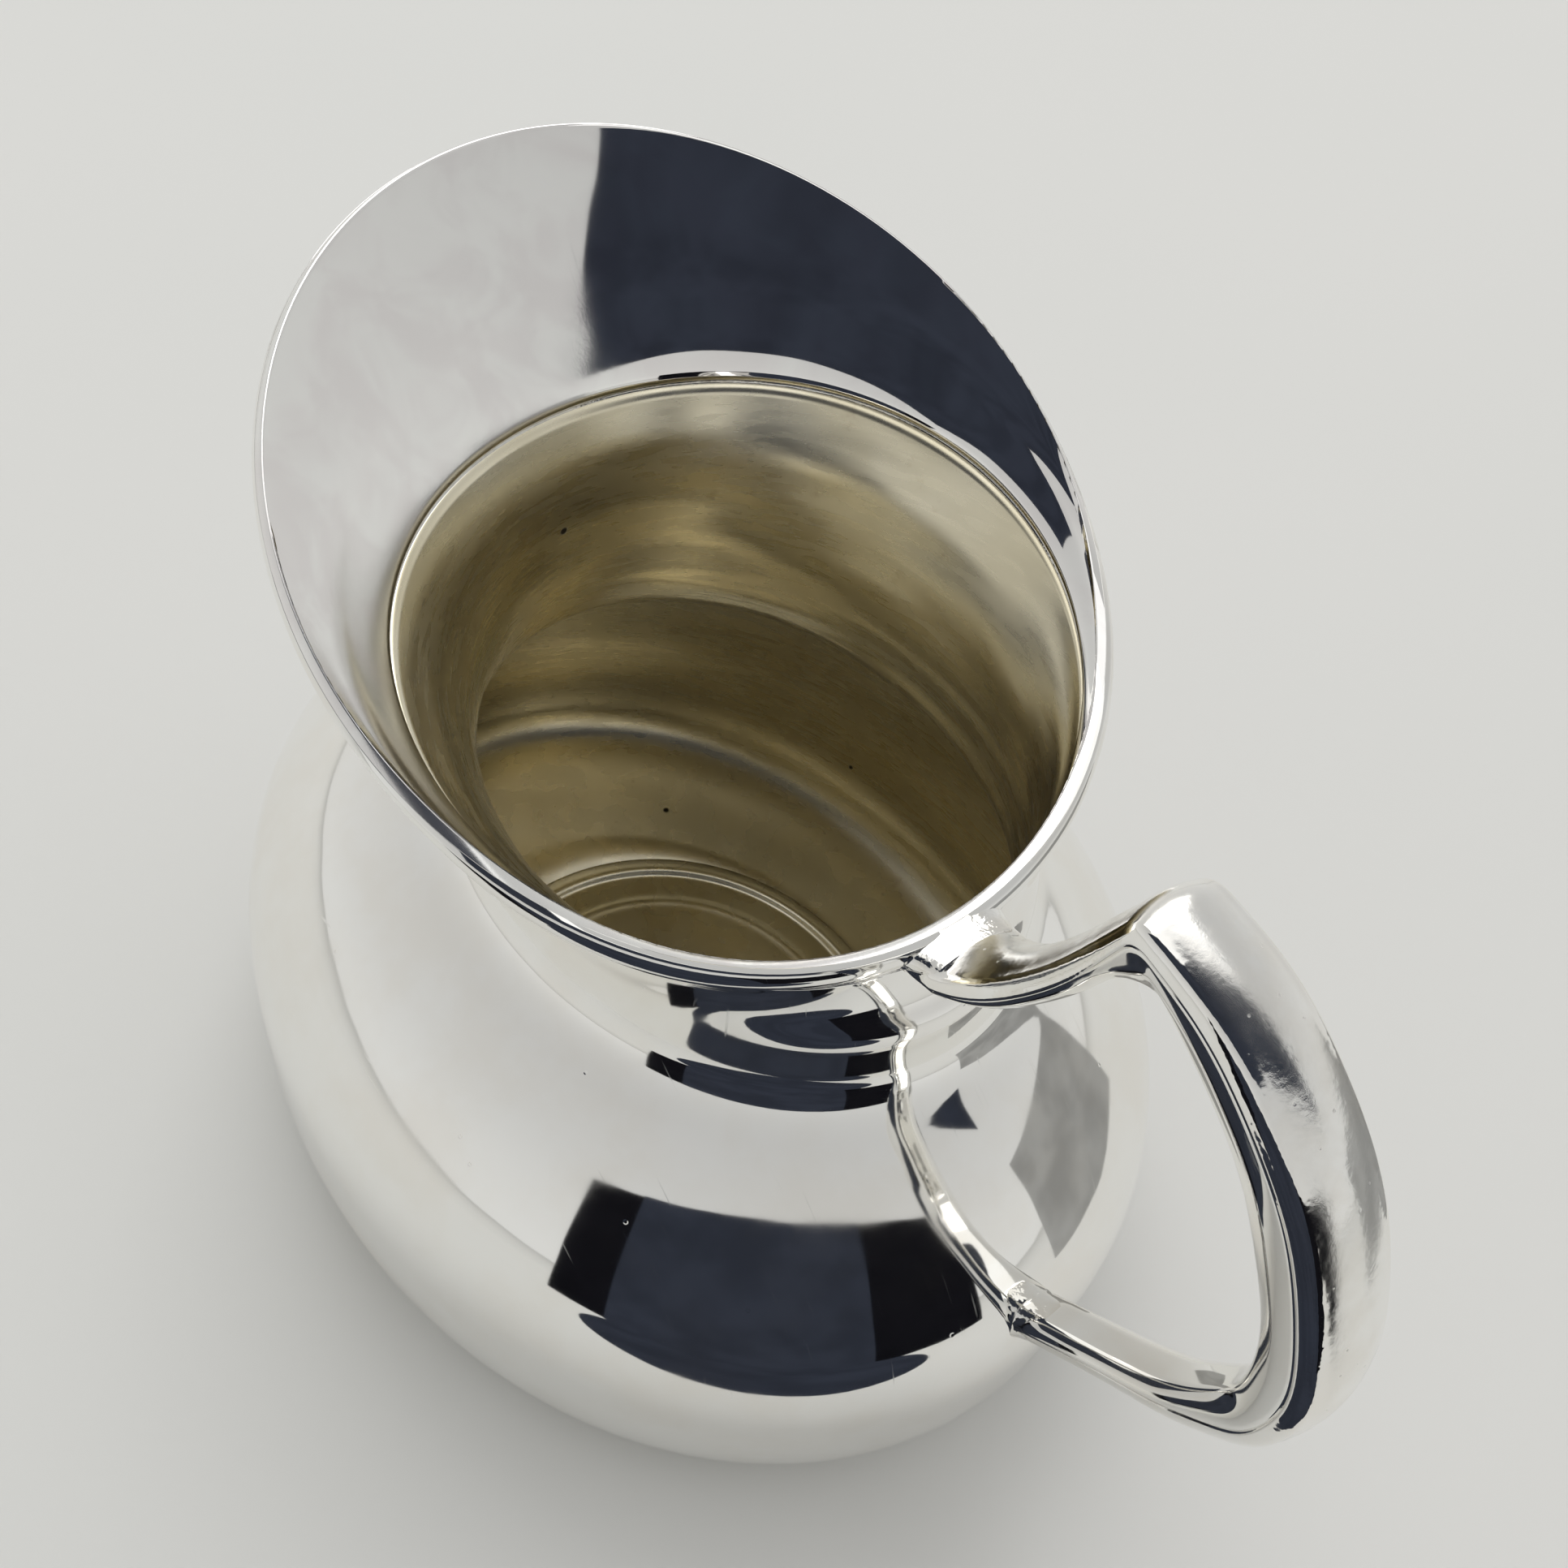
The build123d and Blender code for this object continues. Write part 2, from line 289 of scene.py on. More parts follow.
class Look:
    """Builds one material. Node calls return sockets wrapped so that they take arithmetic."""

    def __init__(self, name):
        self.material = bpy.data.materials.new(name)
        self.material.use_nodes = True
        self.tree = self.material.node_tree
        self.tree.nodes.clear()
        self.place = self.node("ShaderNodeTexCoord").outputs["Object"]

    def node(self, kind, settings=None, **inputs):
        made = self.tree.nodes.new(kind)
        for key, value in (settings or {}).items():
            if key == "stops":
                set_stops(made.color_ramp, value)
            else:
                setattr(made, key, value)
        for key, value in inputs.items():
            self.feed(made.inputs[key.replace("_", " ")], value)
        return made

    def feed(self, socket, value):
        if isinstance(value, Term):
            value = value.socket
        if isinstance(value, bpy.types.NodeSocket):
            self.tree.links.new(value, socket)
        else:
            socket.default_value = value

    def maths(self, operation, *values):
        made = self.node("ShaderNodeMath", {"operation": operation})
        for socket, value in zip(made.inputs, values):
            self.feed(socket, value)
        return Term(self, made.outputs[0])

    def stretched(self, scale, shift=(0, 0, 0), turn=(0, 0, 0)):
        """Object coordinates in millimetres, stretched and shifted."""
        size = tuple(s / MM for s in scale)
        made = self.node("ShaderNodeMapping", Vector=self.place, Location=shift, Rotation=turn, Scale=size)
        return made.outputs[0]

    def noise(self, vector, detail=2.0, rough=0.5, twist=0.0):
        values = {"Vector": vector, "Scale": 1.0, "Detail": detail, "Roughness": rough, "Distortion": twist}
        made = self.node("ShaderNodeTexNoise", **values)
        return Term(self, made.outputs["Fac"])

    def split(self):
        made = self.node("ShaderNodeSeparateXYZ", Vector=self.place)
        return [Term(self, made.outputs[i]) / MM for i in range(3)]

    def mix(self, factor, first, second):
        made = self.node("ShaderNodeMix", {"data_type": "RGBA"})
        self.feed(made.inputs[0], factor)
        self.feed(made.inputs[6], first)
        self.feed(made.inputs[7], second)
        return made.outputs[2]

    def bump(self, height, depth, strength=1.0, under=None):
        """Raises the surface by height times depth, with depth in millimetres."""
        made = self.node("ShaderNodeBump", Strength=strength, Distance=depth * MM)
        self.feed(made.inputs["Height"], height)
        if under is not None:
            self.feed(made.inputs["Normal"], under)
        return made.outputs[0]

    def finish(self, colour, roughness, normal):
        shader = self.node("ShaderNodeBsdfPrincipled", Metallic=1.0)
        self.feed(shader.inputs["Base Color"], colour)
        self.feed(shader.inputs["Roughness"], roughness)
        self.feed(shader.inputs["Normal"], normal)
        output = self.node("ShaderNodeOutputMaterial")
        self.tree.links.new(shader.outputs[0], output.inputs[0])
        return self.material


def set_stops(ramp, stops):
    while len(ramp.elements) < len(stops):
        ramp.elements.new(0.5)
    for element, (position, level) in zip(ramp.elements, stops):
        element.position = position
        element.color = (level, level, level, 1)


class Term:
    """A socket that takes plain arithmetic; every operation adds a Math node."""

    def __init__(self, look, socket):
        self.look = look
        self.socket = socket

    def __add__(self, other):
        return self.look.maths("ADD", self, other)

    def __radd__(self, other):
        return self.look.maths("ADD", other, self)

    def __sub__(self, other):
        return self.look.maths("SUBTRACT", self, other)

    def __rsub__(self, other):
        return self.look.maths("SUBTRACT", other, self)

    def __mul__(self, other):
        return self.look.maths("MULTIPLY", self, other)

    def __rmul__(self, other):
        return self.look.maths("MULTIPLY", other, self)

    def __truediv__(self, other):
        return self.look.maths("DIVIDE", self, other)

    def __abs__(self):
        return self.look.maths("ABSOLUTE", self)

    def between(self, low, high):
        """0 below low, 1 above high, and smooth between; high may be the lower of the two."""
        made = self.look.node("ShaderNodeMapRange", {"interpolation_type": "SMOOTHSTEP"})
        self.look.feed(made.inputs["Value"], self)
        made.inputs["From Min"].default_value = min(low, high)
        made.inputs["From Max"].default_value = max(low, high)
        made.inputs["To Min"].default_value = 0.0 if low < high else 1.0
        made.inputs["To Max"].default_value = 1.0 if low < high else 0.0
        return Term(self.look, made.outputs[0])


# ---------------------------------------------------------------- finishes

silver_bright = (0.945, 0.94, 0.915, 1)
silver_warm = (0.915, 0.895, 0.85, 1)
gold_light = (0.88, 0.82, 0.65, 1)
gold_deep = (0.79, 0.72, 0.53, 1)


def pits(look, size, share):
    """Small round marks: 1 in a pit, 0 elsewhere. size is their spacing in millimetres."""
    spread_out = look.stretched((1 / size,) * 3)
    cells = look.node("ShaderNodeTexVoronoi", {"feature": "F1"}, Vector=spread_out, Scale=1.0)
    return Term(look, cells.outputs["Distance"]).between(share, share * 0.5)


def scratches(look, turn):
    """Fine hairlines along one direction."""
    lines = look.noise(look.stretched((0.12, 5.0, 0.12), turn=turn), detail=1.0)
    gate = look.noise(look.stretched((0.16, 0.16, 0.16), shift=(3, 7, 1)))
    return lines.between(0.70, 0.76) * gate.between(0.48, 0.62)


def polished_silver(name, planish=0.035, polish=0.045):
    look = Look(name)
    smudge = look.noise(look.stretched((0.09, 0.09, 0.09)), detail=4.0, rough=0.6)
    colour = look.mix(smudge.between(0.38, 0.72), silver_bright, silver_warm)
    marks = scratches(look, (0.3, 0.5, 0.9)) + scratches(look, (1.2, -0.4, 2.1))
    roughness = polish + smudge.between(0.45, 0.75) * 0.05 + marks * 0.12
    facets = look.noise(look.stretched((0.13, 0.13, 0.13), shift=(4, 2, 9)), detail=1.0)
    pitted = pits(look, 7.0, 0.035)
    normal = look.bump(facets, planish)
    normal = look.bump(1.0 - pitted, 0.02, under=normal)
    return look.finish(colour, roughness, normal)


def lip_silver(name):
    look = Look(name)
    flank = look.split()[1]
    edge = look.noise(look.stretched((0.11, 0.11, 0.11), shift=(1, 5, 3)), detail=3.0)
    satin = (flank + edge * 10.0).between(12.0, 1.0)
    grain = look.noise(look.stretched((2.2, 2.2, 2.2)), detail=3.0, rough=0.7)
    mottle = look.noise(look.stretched((0.14, 0.14, 0.14), shift=(8, 1, 2)), detail=3.0, twist=0.8)
    wave = look.noise(look.stretched((0.06, 0.06, 0.06), shift=(8, 1, 2)), detail=1.0)
    colour = look.mix(mottle.between(0.35, 0.65), silver_bright, (0.89, 0.865, 0.85, 1))
    marks = scratches(look, (0.8, 0.2, 0.4))
    roughness = 0.035 + satin * (0.09 + mottle * 0.16) + marks * 0.06
    broad = look.bump(wave, 0.22)
    normal = look.bump(grain * satin, 0.005, under=broad)
    return look.finish(colour, roughness, normal)


def gold_wash(name, ripple=0.05):
    look = Look(name)
    cloud = look.noise(look.stretched((0.05, 0.05, 0.07)), detail=3.0, rough=0.55, twist=0.4)
    brushed = look.noise(look.stretched((0.25, 0.25, 1.6)), detail=2.0, rough=0.5)
    stain = look.noise(look.stretched((0.30, 0.30, 0.30), shift=(2, 9, 4)), detail=4.0, rough=0.7)
    pitted = pits(look, 11.0, 0.045)
    colour = look.mix(cloud.between(0.30, 0.70), gold_light, gold_deep)
    colour = look.mix(stain.between(0.60, 0.78) * 0.35, colour, (0.45, 0.34, 0.20, 1))
    colour = look.mix(pitted, colour, (0.06, 0.05, 0.04, 1))
    roughness = 0.21 + brushed.between(0.3, 0.7) * 0.05 + cloud * 0.08 + pitted * 0.3
    rings = look.noise(look.stretched((0.035, 0.035, 0.16)), detail=1.0)
    normal = look.bump(rings, ripple * 5)
    normal = look.bump(brushed, 0.0012, under=normal)
    normal = look.bump(1.0 - pitted, 0.05, under=normal)
    return look.finish(colour, roughness, normal)


def handle_silver(name):
    look = Look(name)
    flank = look.split()[1]
    grain = look.noise(look.stretched((3.0, 3.0, 3.0)), detail=3.0, rough=0.75)
    wear = look.noise(look.stretched((0.16, 0.16, 0.16), shift=(6, 3, 8)), detail=4.0, rough=0.6)
    middle = abs(flank).between(3.5, 2.2)
    worn = wear.between(0.35, 0.65)
    colour = look.mix(worn, silver_bright, silver_warm)
    pitted = pits(look, 1.6, 0.10) * middle
    roughness = 0.05 + middle * (0.07 + worn * 0.12) + pitted * 0.2
    normal = look.bump(grain * middle, 0.008)
    normal = look.bump(wear, 0.10, under=normal)
    normal = look.bump(1.0 - pitted, 0.012, under=normal)
    return look.finish(colour, roughness, normal)


def solder_silver(name):
    look = Look(name)
    lumps = look.noise(look.stretched((0.55, 0.55, 0.55)), detail=3.0, rough=0.6)
    tint = look.noise(look.stretched((0.3, 0.3, 0.3), shift=(5, 5, 5)), detail=2.0)
    colour = look.mix(tint.between(0.35, 0.65), silver_bright, (0.86, 0.83, 0.77, 1))
    roughness = 0.07 + lumps.between(0.5, 0.8) * 0.16
    return look.finish(colour, roughness, look.bump(lumps, 0.12))


body_finish = polished_silver("bowl polished silver")
lip_back_finish = polished_silver("lip back polished silver")
bead_finish = polished_silver("rim bead silver", planish=0.01)
lip_finish = lip_silver("lip inside silver")
gold_finish = gold_wash("gold wash")
disc_finish = gold_wash("gold wash on the base", ripple=0.0)
foot_finish = polished_silver("foot ring silver", planish=0.02, polish=0.09)
handle_finish = handle_silver("handle back silver")
channel_finish = polished_silver("handle channel silver", planish=0.04)
solder_finish = solder_silver("silver solder")


# ---------------------------------------------------------------- bowl and lip

def neck_ripple(station):
    """How far the hammered rings inside the neck stand in or out, in millimetres, at every angle."""
    fades = (belly_station + 1, neck_station - 1, crease_station - 0.6, crease_station)
    depth = np.interp(station, fades, (0, 1, 1, 0))
    shape = []
    for turn in angles:
        spot = Vector((math.cos(turn) * 1.1, math.sin(turn) * 1.1, station * 1.15))
        shape.append(noise.noise(spot) + 0.35 * noise.noise(spot * 2.3))
    return np.array(shape) * depth * ripple_depth


def wall_shell(start, end, outer_rings, inner_rings, inner_offset, inner_finish, close_low):
    """Closed shell of the wall between two stations, with its outside and inside finishes."""
    rings = [wall_ring(s) for s in spread(start, end, outer_rings)]
    finishes = [0] * len(rings)
    for s in spread(end, start, inner_rings):
        rings.append(wall_ring(s, inner_offset(s)))
        finishes.append(inner_finish)
    return rings + close_low, finishes + [0] * len(close_low)


def make_bowl():
    inner = lambda s: -wall + neck_ripple(s)
    floor = bottom_height + wall
    hole = [flat_oval(plug_radius, floor), flat_oval(plug_radius, bottom_height)]
    rings, finishes = wall_shell(0.0, crease_station - seam_share, 110, 120, inner, 1, hole)
    finishes[-2] = 1
    return piece("raised_bowl", skin(rings, finishes), "bowl", "gilt_inside", body_finish, gold_finish)


def lip_thickness(station):
    """The lip's lower edge overlaps the neck inside, and is rounded where it ends."""
    swell = (crease_station, crease_station + 0.04, crease_station + 0.12)
    overlap = np.interp(station, swell, (0.0, 0.22, 0.34))
    fade = np.clip((station - crease_station - 0.12) / 0.9, 0, 1)
    return -wall - overlap * (1 - fade * fade * (3 - 2 * fade))


def make_lip():
    edge = 0.16
    low = crease_station + seam_share
    rings = [wall_ring(s) for s in spread(low, rim_station, 36)]
    finishes = [0] * len(rings)
    rim = ((edge * 0.3, 0.0), (wall - edge, 0.0), (wall - edge * 0.3, -edge * 0.3), (wall, -edge))
    for inward, down in rim:
        rings.append(wall_ring(rim_station, -inward, down))
        finishes.append(1)
    for s in spread(rim_station - 0.06, crease_station + 0.2, 40):
        rings.append(wall_ring(s, lip_thickness(s)))
        finishes.append(1)
    for s in (0.16, 0.12, 0.08, 0.05, 0.03, 0.015, 0.0):
        rings.append(wall_ring(crease_station + s, lip_thickness(crease_station + s)))
        finishes.append(1)
    return piece("flared_lip", skin(rings, finishes), "lip", "polished_silver", lip_back_finish, lip_finish)


def make_lip_solder():
    low = crease_station - seam_share
    high = crease_station + seam_share
    rings = [wall_ring(low), wall_ring(crease_station, 0.015), wall_ring(high)]
    rings += [wall_ring(high, -wall * 0.9), wall_ring(low, -wall * 0.9)]
    return piece("lip_solder_seam", skin(rings), "lip_solder", "solder", solder_finish)


def make_rim_bead():
    """Half-round wire soldered round the outside of the rim."""
    profile = [(-0.05, 0.02)]
    for i in range(13):
        turn = math.pi * i / 12
        bulge = rim_bead_thickness * math.sin(turn) ** 0.75
        profile.append((bulge, -rim_bead_height * (1 - math.cos(turn)) / 2))
    profile.append((-0.05, -rim_bead_height))
    rings = [wall_ring(rim_station, out, up) for out, up in profile]
    return piece("rim_bead", skin(rings), "rim_wire", "polished_silver", bead_finish)


# ---------------------------------------------------------------- base and foot

def turned(name, profile, node, slot, finish, ratio=foot_ratio):
    """A turned piece, stretched a little lengthwise. The profile is in (radius, z)."""
    rings = [flat_oval(radius, height, ratio) for radius, height in profile]
    return piece(name, skin(rings), node, slot, finish)


def rounded(points, radius, steps=3):
    """A closed outline with each corner replaced by a short curve."""
    made = []
    for i, point in enumerate(points):
        here = np.array(point, float)
        before = np.array(points[i - 1], float) - here
        after = np.array(points[(i + 1) % len(points)], float) - here
        reach_before = min(radius, np.linalg.norm(before) * 0.45)
        reach_after = min(radius, np.linalg.norm(after) * 0.45)
        start = here + before / np.linalg.norm(before) * reach_before
        end = here + after / np.linalg.norm(after) * reach_after
        for t in spread(0.0, 1.0, steps + 1):
            made.append(tuple((1 - t) ** 2 * start + 2 * t * (1 - t) * here + t * t * end))
    return made


def make_base_disc():
    floor = bottom_height + wall
    middle = floor + disc_plate * 0.4
    profile = [
        (plug_radius, bottom_height),
        (plug_radius, floor),
        (disc_radius, floor),
        (disc_radius - 0.15, floor + disc_plate * 0.5),
        (ridge_radius, floor + disc_plate),
        (ridge_radius - 0.7, floor + disc_plate),
        (ridge_radius - 1.3, middle),
        (ridge_radius - 4.0, middle + 0.05),
        (ridge_radius - 4.8, middle + 0.22),
        (ridge_radius - 5.6, middle + 0.05),
        (0.02, middle),
        (0.02, bottom_height),
    ]
    return turned("base_disc_plate", rounded(profile, 0.35), "base_disc", "satin_gilt", disc_finish)


def make_foot():
    profile = [
        (foot_inner, 0.0),
        (foot_outer - 0.5, 0.0),
        (foot_outer, 0.5),
        (foot_outer, bottom_height - 0.3),
        (foot_outer - 0.3, bottom_height),
        (foot_inner, bottom_height),
    ]
    turned("foot_rim", rounded(profile, 0.22), "foot_ring", "polished_silver", foot_finish)
    corner = (foot_inner, bottom_height)
    fillet = [(foot_inner - foot_fillet, bottom_height), (foot_inner, bottom_height - foot_fillet), corner]
    turned("foot_solder_fillet", rounded(fillet, 0.2), "foot_solder", "solder", solder_finish)


# ---------------------------------------------------------------- handle

arm_run = SmoothRun([outer + inner + (half, half_inside) for outer, inner, half, half_inside in handle_arm])
grip_run = SmoothRun([outer + inner + (half, half_inside) for outer, inner, half, half_inside in handle_grip])
arm_end = len(handle_arm) - 1
grip_end = len(handle_grip) - 1


def section_ring(row, outline):
    """Stands a flat outline up at a handle station. Its points are (across, height over the back's edge)."""
    back = np.array((row[0], 0.0, row[1]))
    inside = np.array((row[2], 0.0, row[3]))
    up = (back - inside) / np.linalg.norm(back - inside)
    return np.array([back + np.array((0.0, across, 0.0)) + up * height for across, height in outline])


def depth_of(row):
    return math.hypot(row[0] - row[2], row[1] - row[3])


def strap_outline(row):
    """The crowned face of the handle's back, with a wide rounded band down each side."""
    half = row[4]
    narrow = half - edge_inset
    crown = [(a, back_crown * (1 - (a / narrow) ** 2)) for a in spread(-narrow, narrow, 13)]
    band = []
    for turn in spread(band_start, math.pi / 2, 9):
        band.append((narrow + edge_inset * math.sin(turn), -band_depth * (1 - math.cos(turn))))
    other = [(-across, height) for across, height in reversed(band)]
    return crown + band + other


def channel_outline(row):
    half, half_inside, depth = row[4], row[5], depth_of(row)
    seam = min(band_depth, depth * 0.5)
    middle = (half + half_inside) / 2 + 0.35
    floor = handle_wall - depth
    inner = half_inside - handle_wall * 0.6
    return rounded([
        (half, -seam),
        (middle, -(seam + depth) / 2),
        (half_inside, -depth),
        (-half_inside, -depth),
        (-middle, -(seam + depth) / 2),
        (-half, -seam),
        (handle_wall - half, -seam),
        (-inner, floor),
        (inner, floor),
        (half - handle_wall, -seam),
    ], 0.6)


def whole_outline(row):
    half, half_inside, depth = row[4], row[5], depth_of(row)
    narrow = half - edge_inset
    corners = [(-narrow, 0.2), (0.0, back_crown), (narrow, 0.2), (half, -edge_depth), (half_inside, -depth)]
    corners += [(0.0, -depth), (-half_inside, -depth), (-half, -edge_depth)]
    return rounded(corners, 1.2, steps=5)


def skin_tree():
    """The jug's outer surface as a search tree, in metres."""
    mesh = skin([wall_ring(s) for s in spread(belly_station - 4, rim_station, 90)], closed=False)
    tree = BVHTree.FromBMesh(mesh)
    mesh.free()
    return tree


outside = skin_tree()
arm_start = 1.3
grip_stop = 11.5
wall_bite = 0.35


def at_wall(run, outline, free, beyond, deeper=0.0):
    """Where the lines of the handle's outline meet the bowl's outside."""
    start = section_ring(run.at(free), outline(run.at(free)))
    end = section_ring(run.at(beyond), outline(run.at(beyond)))
    ring = []
    for a, b in zip(start, end):
        direction = Vector(b - a).normalized()
        hit = outside.ray_cast(Vector(a) * MM, direction)[0]
        spot = hit if hit else outside.find_nearest(Vector(a) * MM)[0]
        ring.append(np.array(spot / MM + direction * deeper))
    return np.array(ring)


def handle_rings(outline):
    """Rings from the bowl's neck, up the arm, round the corner and down the grip to the bowl's side."""
    arm = lambda s: section_ring(arm_run.at(s), outline(arm_run.at(s)))
    grip = lambda s: section_ring(grip_run.at(s), outline(grip_run.at(s)))
    rings = [at_wall(arm_run, outline, arm_start, 0.0, wall_bite)]
    corner_before, corner_after = arm_end - 0.36, 0.26
    rings += [arm(s) for s in spread(arm_start, corner_before, 34)]
    before, corner, after = arm(corner_before), arm(arm_end), grip(corner_after)
    for t in spread(0.0, 1.0, 12)[1:-1]:
        rings.append((1 - t) ** 2 * before + 2 * t * (1 - t) * corner + t * t * after)
    rings += [grip(s) for s in spread(corner_after, grip_stop, 100)]
    rings.append(at_wall(grip_run, outline, grip_stop, grip_end, wall_bite))
    return rings


def make_handle():
    strap = skin(handle_rings(strap_outline), closed=False, capped=True)
    piece("handle_back_strap", strap, "handle_back", "polished_silver", handle_finish)
    channel = skin(handle_rings(channel_outline), closed=False, capped=True)
    piece("handle_inner_channel", channel, "handle_channel", "polished_silver", channel_finish)


def make_solder_collar(name, node, run, free, beyond, reach, flare):
    """A fillet of solder round the handle's end, a little uneven where it spreads on the bowl."""
    corner = at_wall(run, whole_outline, free, beyond)
    along = section_ring(run.at(reach), whole_outline(run.at(reach)))
    middle = corner.mean(axis=0)
    foot, top, root = [], [], []
    for i, (low, high) in enumerate(zip(corner, along)):
        away = (low - middle) / np.linalg.norm(low - middle)
        uneven = 1 + 0.45 * noise.noise(Vector(low * 0.55))
        spot, normal, _, _ = outside.find_nearest(Vector(low + away * flare * uneven) * MM)
        foot.append(np.array(spot / MM - normal * 0.06))
        inward = along.mean(axis=0) - high
        inward /= np.linalg.norm(inward)
        top.append(high + inward * 0.05)
        root.append(low - away * 0.5 - np.array(normal) * 0.3)
    foot, top, root = np.array(foot), np.array(top), np.array(root)
    pull = corner * 0.62 + (foot + top) * 0.19
    rings = [(1 - t) ** 2 * foot + 2 * t * (1 - t) * pull + t * t * top for t in spread(0.0, 1.0, 12)]
    return piece(name, skin(rings + [root]), node, "solder", solder_finish)


# ---------------------------------------------------------------- the stage

def paper_finish():
    look = Look("pale paper")
    cloud = look.noise(look.stretched((0.004, 0.004, 0.004)), detail=2.0)
    colour = look.mix(cloud.between(0.3, 0.7), (0.80, 0.795, 0.77, 1), (0.78, 0.78, 0.755, 1))
    shader = look.node("ShaderNodeBsdfPrincipled", Roughness=0.9)
    look.feed(shader.inputs["Base Color"], colour)
    output = look.node("ShaderNodeOutputMaterial")
    look.tree.links.new(shader.outputs[0], output.inputs[0])
    return look.material


def make_floor():
    mesh = bmesh.new()
    bmesh.ops.create_grid(mesh, x_segments=2, y_segments=2, size=4.0)
    bmesh.ops.translate(mesh, verts=mesh.verts, vec=(0, 0, -0.05 * MM))
    data = bpy.data.meshes.new("floor")
    mesh.to_mesh(data)
    mesh.free()
    data.materials.append(paper_finish())
    floor = bpy.data.objects.new("floor", data)
    bpy.context.scene.collection.objects.link(floor)


def toward(azimuth, elevation):
    """A direction of length one, from angles in degrees."""
    turn = math.radians(azimuth)
    rise = math.radians(elevation)
    return Vector((math.cos(turn) * math.cos(rise), math.sin(turn) * math.cos(rise), math.sin(rise)))


# Painted glow colours for the reflection-only cards: the brightness of the dark cloth, the mat and the grey
# board is painted in as emission, not lit by the lamps.
cloth_navy_glow = (0.030, 0.035, 0.050, 1)
cloth_black_glow = (0.006, 0.006, 0.008, 1)
board_grey_glow = (0.33, 0.33, 0.32, 1)


def cloth_glow_finish(name, colour):
    """A cloth or board stand-in that glows with a painted, even brightness (an emission, lit by no lamp),
    shown only in reflections.
    """
    look = Look(name)
    weave = look.noise(look.stretched((0.03, 0.03, 0.03)), detail=2.0)
    shade = look.mix(weave.between(0.3, 0.7), colour, tuple(c * 0.75 for c in colour[:3]) + (1,))
    # Emission: the card's colour is a painted glow, not cloth lit by the lamps.
    shader = look.node("ShaderNodeEmission", Strength=1.0)
    look.feed(shader.inputs["Color"], shade)
    output = look.node("ShaderNodeOutputMaterial")
    look.tree.links.new(shader.outputs[0], output.inputs[0])
    return look.material


def only_reflected(name, mesh, colour):
    """A glowing stage piece of painted brightness that only reflections show."""
    data = bpy.data.meshes.new(name)
    mesh.to_mesh(data)
    mesh.free()
    data.materials.append(cloth_glow_finish(name, colour))
    card = bpy.data.objects.new(name, data)
    bpy.context.scene.collection.objects.link(card)
    card.visible_camera = False
    card.visible_shadow = False
    card.visible_diffuse = False
    return card


def make_card(name, azimuth, elevation, distance, left, right, low, high, colour, centre=0.0, lean=0.0):
    """A flat glowing card facing the jug, whose painted brightness only reflections show. Its edges are
    measured in millimetres from the middle of its plane.
    """
    mesh = bmesh.new()
    bmesh.ops.create_grid(mesh, x_segments=1, y_segments=1, size=0.5)
    bmesh.ops.scale(mesh, verts=mesh.verts, vec=(right - left, high - low, 1))
    for vert in mesh.verts:
        vert.co.x += vert.co.y * lean
    bmesh.ops.translate(mesh, verts=mesh.verts, vec=((left + right) / 2, (low + high) / 2, 0))
    bmesh.ops.scale(mesh, verts=mesh.verts, vec=(MM, MM, MM))
    away = toward(azimuth, elevation)
    spot = Vector((0, 0, centre)) * MM + away * distance * MM
    turn = away.to_track_quat("Z", "Y").to_matrix().to_4x4()
    bmesh.ops.transform(mesh, matrix=Matrix.Translation(spot) @ turn, verts=mesh.verts)
    return only_reflected(name, mesh, colour)


def make_mat(name, x, y, radius, colour):
    """A round glowing mat of painted brightness lying on the floor in front of the jug, seen only in
    reflections.
    """
    mesh = bmesh.new()
    bmesh.ops.create_circle(mesh, cap_ends=True, segments=64, radius=radius * MM)
    bmesh.ops.translate(mesh, verts=mesh.verts, vec=(x * MM, y * MM, 0.3 * MM))
    return only_reflected(name, mesh, colour)


def make_light(name, azimuth, elevation, distance, width, height, power, colour=(1, 1, 1)):
    data = bpy.data.lights.new(name, "AREA")
    data.shape = "RECTANGLE"
    data.size = width
    data.size_y = height
    data.energy = power
    data.color = colour
    light = bpy.data.objects.new(name, data)
    direction = toward(azimuth, elevation)
    light.location = Vector((0, 0, 0.05)) + direction * distance
    light.rotation_euler = direction.to_track_quat("Z", "Y").to_euler()
    bpy.context.scene.collection.objects.link(light)
    return light


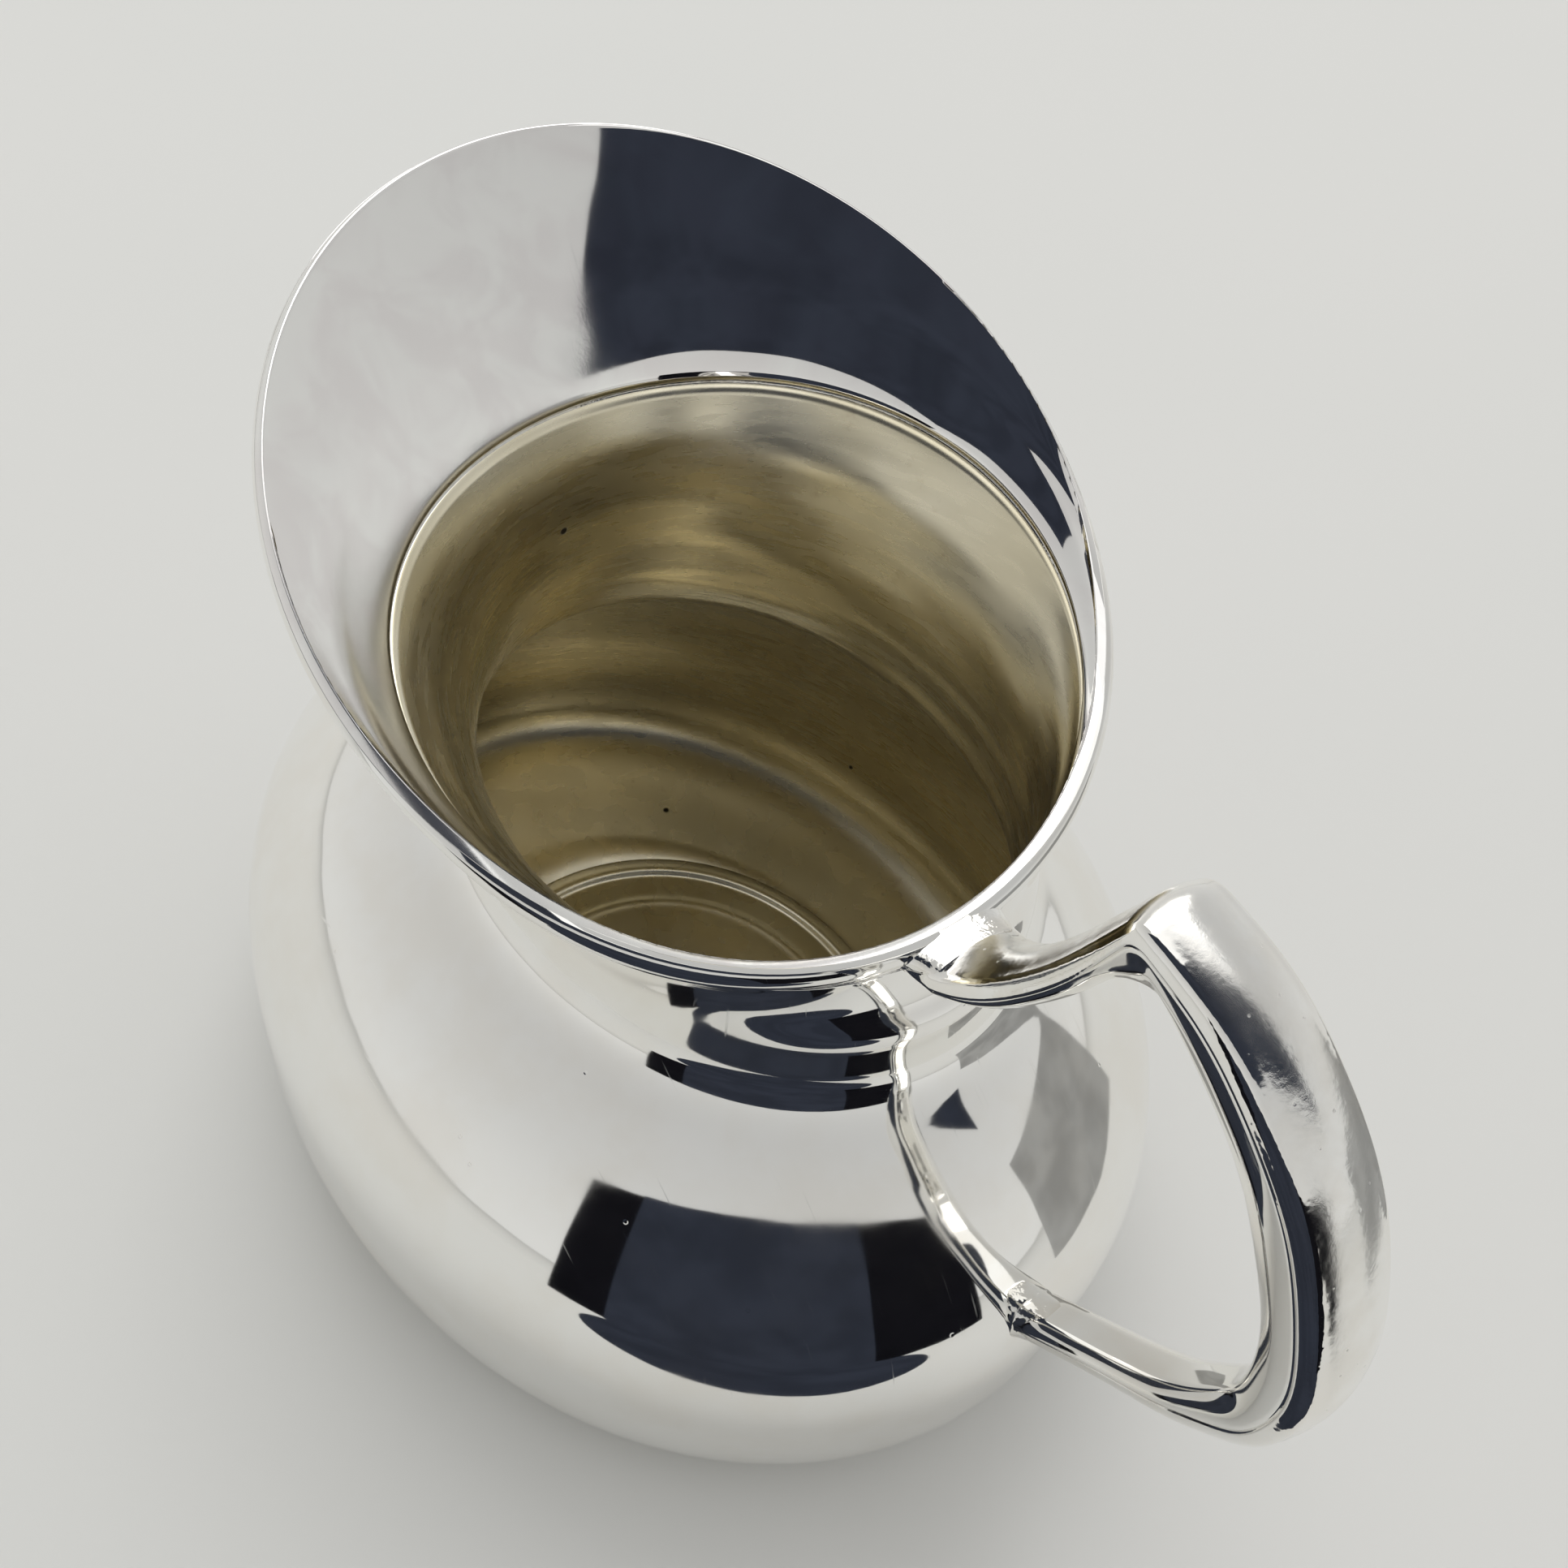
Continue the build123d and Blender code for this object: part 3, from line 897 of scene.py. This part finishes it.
def make_world():
    world = bpy.data.worlds.new("pale room")
    world.use_nodes = True
    tree = world.node_tree
    place = tree.nodes.new("ShaderNodeTexCoord")
    split = tree.nodes.new("ShaderNodeSeparateXYZ")
    tree.links.new(place.outputs["Generated"], split.inputs[0])
    ramp = tree.nodes.new("ShaderNodeValToRGB")
    tree.links.new(split.outputs["Z"], ramp.inputs["Fac"])
    ramp.color_ramp.elements[0].position = 0.05
    ramp.color_ramp.elements[0].color = (0.70, 0.70, 0.685, 1)
    ramp.color_ramp.elements[1].position = 0.75
    ramp.color_ramp.elements[1].color = (0.52, 0.52, 0.515, 1)
    tree.links.new(ramp.outputs["Color"], tree.nodes["Background"].inputs["Color"])
    bpy.context.scene.world = world


def make_camera():
    """Looks down into the jug past the handle, from a little over half a right angle up."""
    data = bpy.data.cameras.new("camera")
    data.sensor_width = 36.0
    data.lens = 39.456
    data.clip_start = 0.01
    camera = bpy.data.objects.new("camera", data)
    right = Vector((0.596876, 0.791184, 0.133291))
    up = Vector((-0.671842, 0.402041, 0.622087))
    back = Vector((0.438597, -0.460859, 0.771519))
    turn = Matrix((right, up, back)).transposed().to_4x4()
    camera.matrix_world = Matrix.Translation((0.07198, -0.0677, 0.171893)) @ turn
    bpy.context.scene.collection.objects.link(camera)
    bpy.context.scene.camera = camera
    bpy.context.scene.view_settings.view_transform = "Standard"


make_bowl()
make_lip()
make_lip_solder()
make_rim_bead()
make_base_disc()
make_foot()
make_handle()
make_solder_collar("upper_solder_fillet", "upper_solder", arm_run, arm_start, 0.0, 1.5, 0.55)
make_solder_collar("lower_solder_fillet", "lower_solder", grip_run, grip_stop, grip_end, 11.42, 0.45)

make_floor()
make_world()
make_camera()
make_light("window", 150, 55, 1.6, 1.2, 1.2, 7.0)
make_light("ceiling", 0, 90, 1.8, 1.6, 1.6, 4.5)
# Glowing cards and a mat of painted brightness, seen only in reflections, where they put the dark
# surroundings into the silver as painted dark reflections.
make_card("dark cloth glow above", -35, 45, 200, -170, 192, 2, 150, cloth_navy_glow, centre=50, lean=-1.16)
make_card("black cloth glow in front", -35, 0, 160, -112, 155, 0, 114, cloth_black_glow)
make_card("navy cloth glow in front", -35, 0, 157, -72, 62, 0, 113, cloth_navy_glow)
make_mat("navy glow mat", 130, -85, 75, cloth_navy_glow)
make_card("grey glow board", 43, 0, 200, -55, 60, 0, 95, board_grey_glow)
